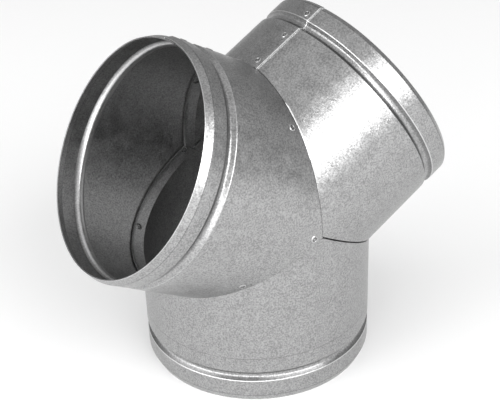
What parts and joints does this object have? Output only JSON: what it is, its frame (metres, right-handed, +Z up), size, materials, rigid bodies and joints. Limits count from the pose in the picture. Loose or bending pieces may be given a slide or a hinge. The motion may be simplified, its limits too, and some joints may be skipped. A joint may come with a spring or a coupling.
{
  "type": "duct y branch",
  "caption": "Round sheet-metal duct Y branch: equal tubes mitred together, each with a tapered and beaded mouth, splitting one air path into a pair.",
  "frame": {"origin": "centre of the trunk's mouth, on the floor the part stands on", "axes": "+Z up along the trunk's axis, +X from the left branch to the right branch, +Y across the plane of the three axes"},
  "size_m": [0.2478, 0.15, 0.2255],
  "materials": {
    "galvanised_sheet": "galvanised sheet with a fine spangle, satin"
  },
  "bodies": {
    "root": {"trunk_tube": "galvanised_sheet", "left_branch_tube": "galvanised_sheet", "right_branch_tube": "galvanised_sheet"}
  },
  "joints": []
}
